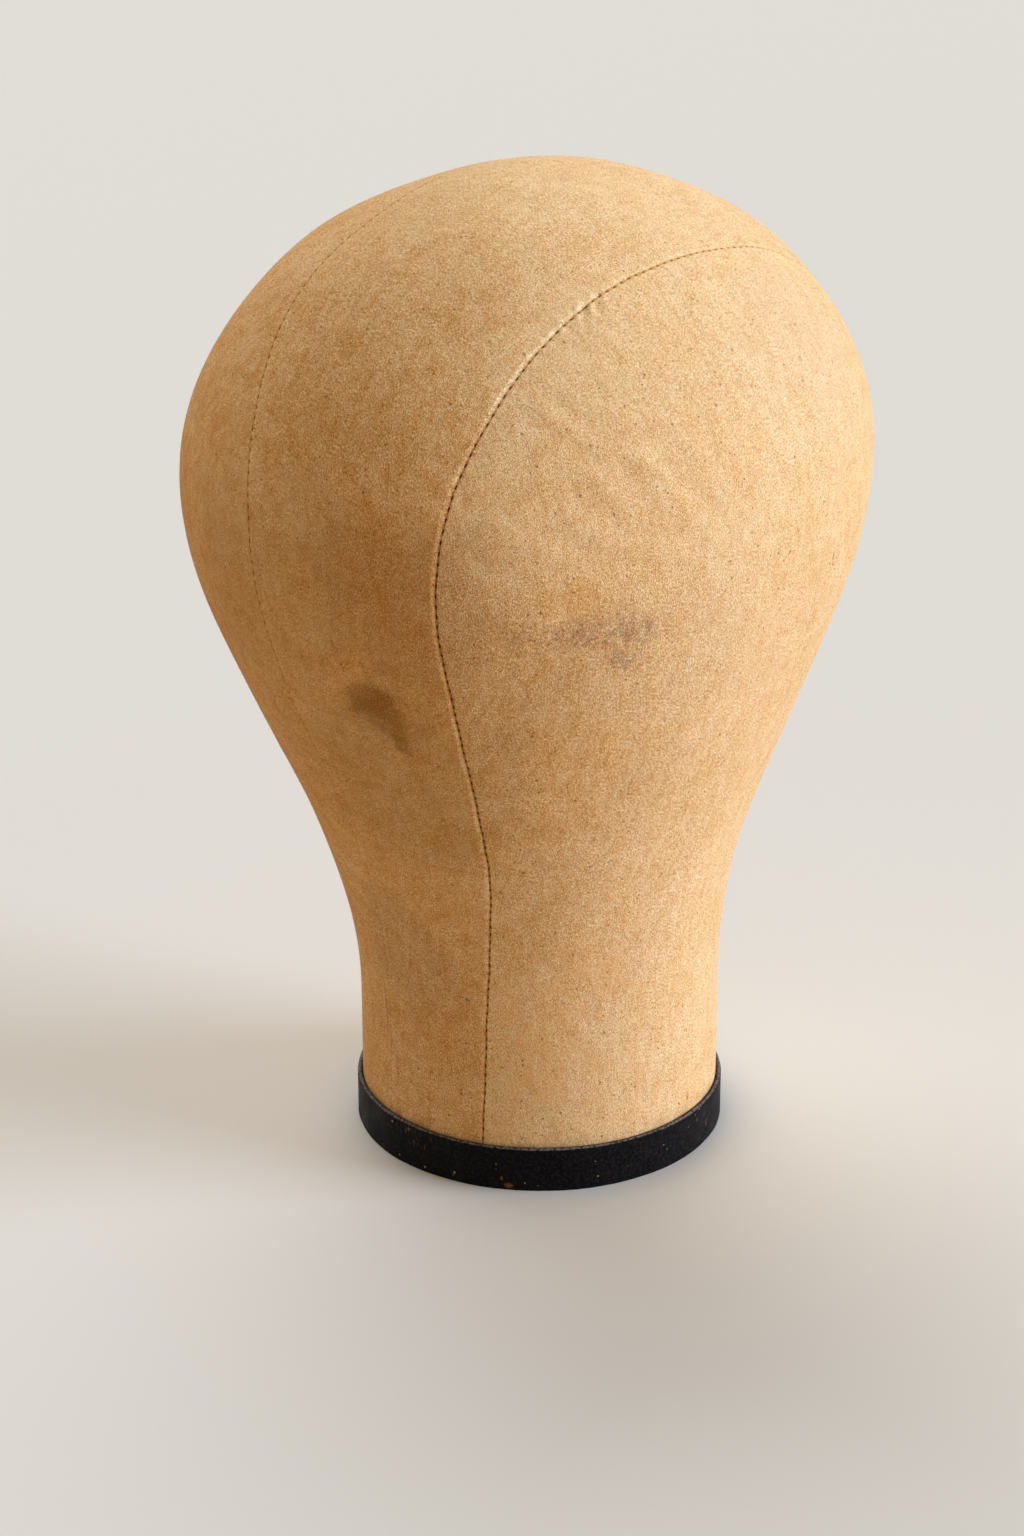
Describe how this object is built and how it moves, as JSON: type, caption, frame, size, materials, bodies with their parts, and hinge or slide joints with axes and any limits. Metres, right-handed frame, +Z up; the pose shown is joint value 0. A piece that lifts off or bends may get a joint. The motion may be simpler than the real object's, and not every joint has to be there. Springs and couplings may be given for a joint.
{
  "type": "canvas wig block",
  "caption": "Faceless stuffed head form for holding wigs, covered in sewn canvas panels, on a rimmed neck with a clamp socket underneath.",
  "frame": {"origin": "centre of the socket's mouth in the underside, on the floor", "axes": "+Z up along the neck, -Y towards the front of the head, +X to the block's side that the picture shows most"},
  "size_m": [0.162, 0.1928, 0.2554],
  "materials": {
    "canvas": "tan plain-weave cotton canvas, matt with a short nap",
    "thread": "twisted cotton sewing thread, matt",
    "stuffing": "hard-packed loose fibre, matt",
    "core_wood": "plain turned softwood, unfinished",
    "tack_steel": "blued steel, dull",
    "rim_board": "black-coated leatherboard strip, satin, chipped to brown",
    "cover_board": "brown fibreboard, matt"
  },
  "bodies": {
    "root": {"centre_panel": "canvas", "right_side_panel": "canvas", "left_side_panel": "canvas", "right_seam_thread": "thread", "left_seam_thread": "thread", "stuffing": "stuffing", "core_post": "core_wood", "neck_plug": "core_wood", "hem_tacks": "tack_steel", "rim_band": "rim_board", "base_cover": "cover_board", "cover_nails": "tack_steel"}
  },
  "joints": []
}
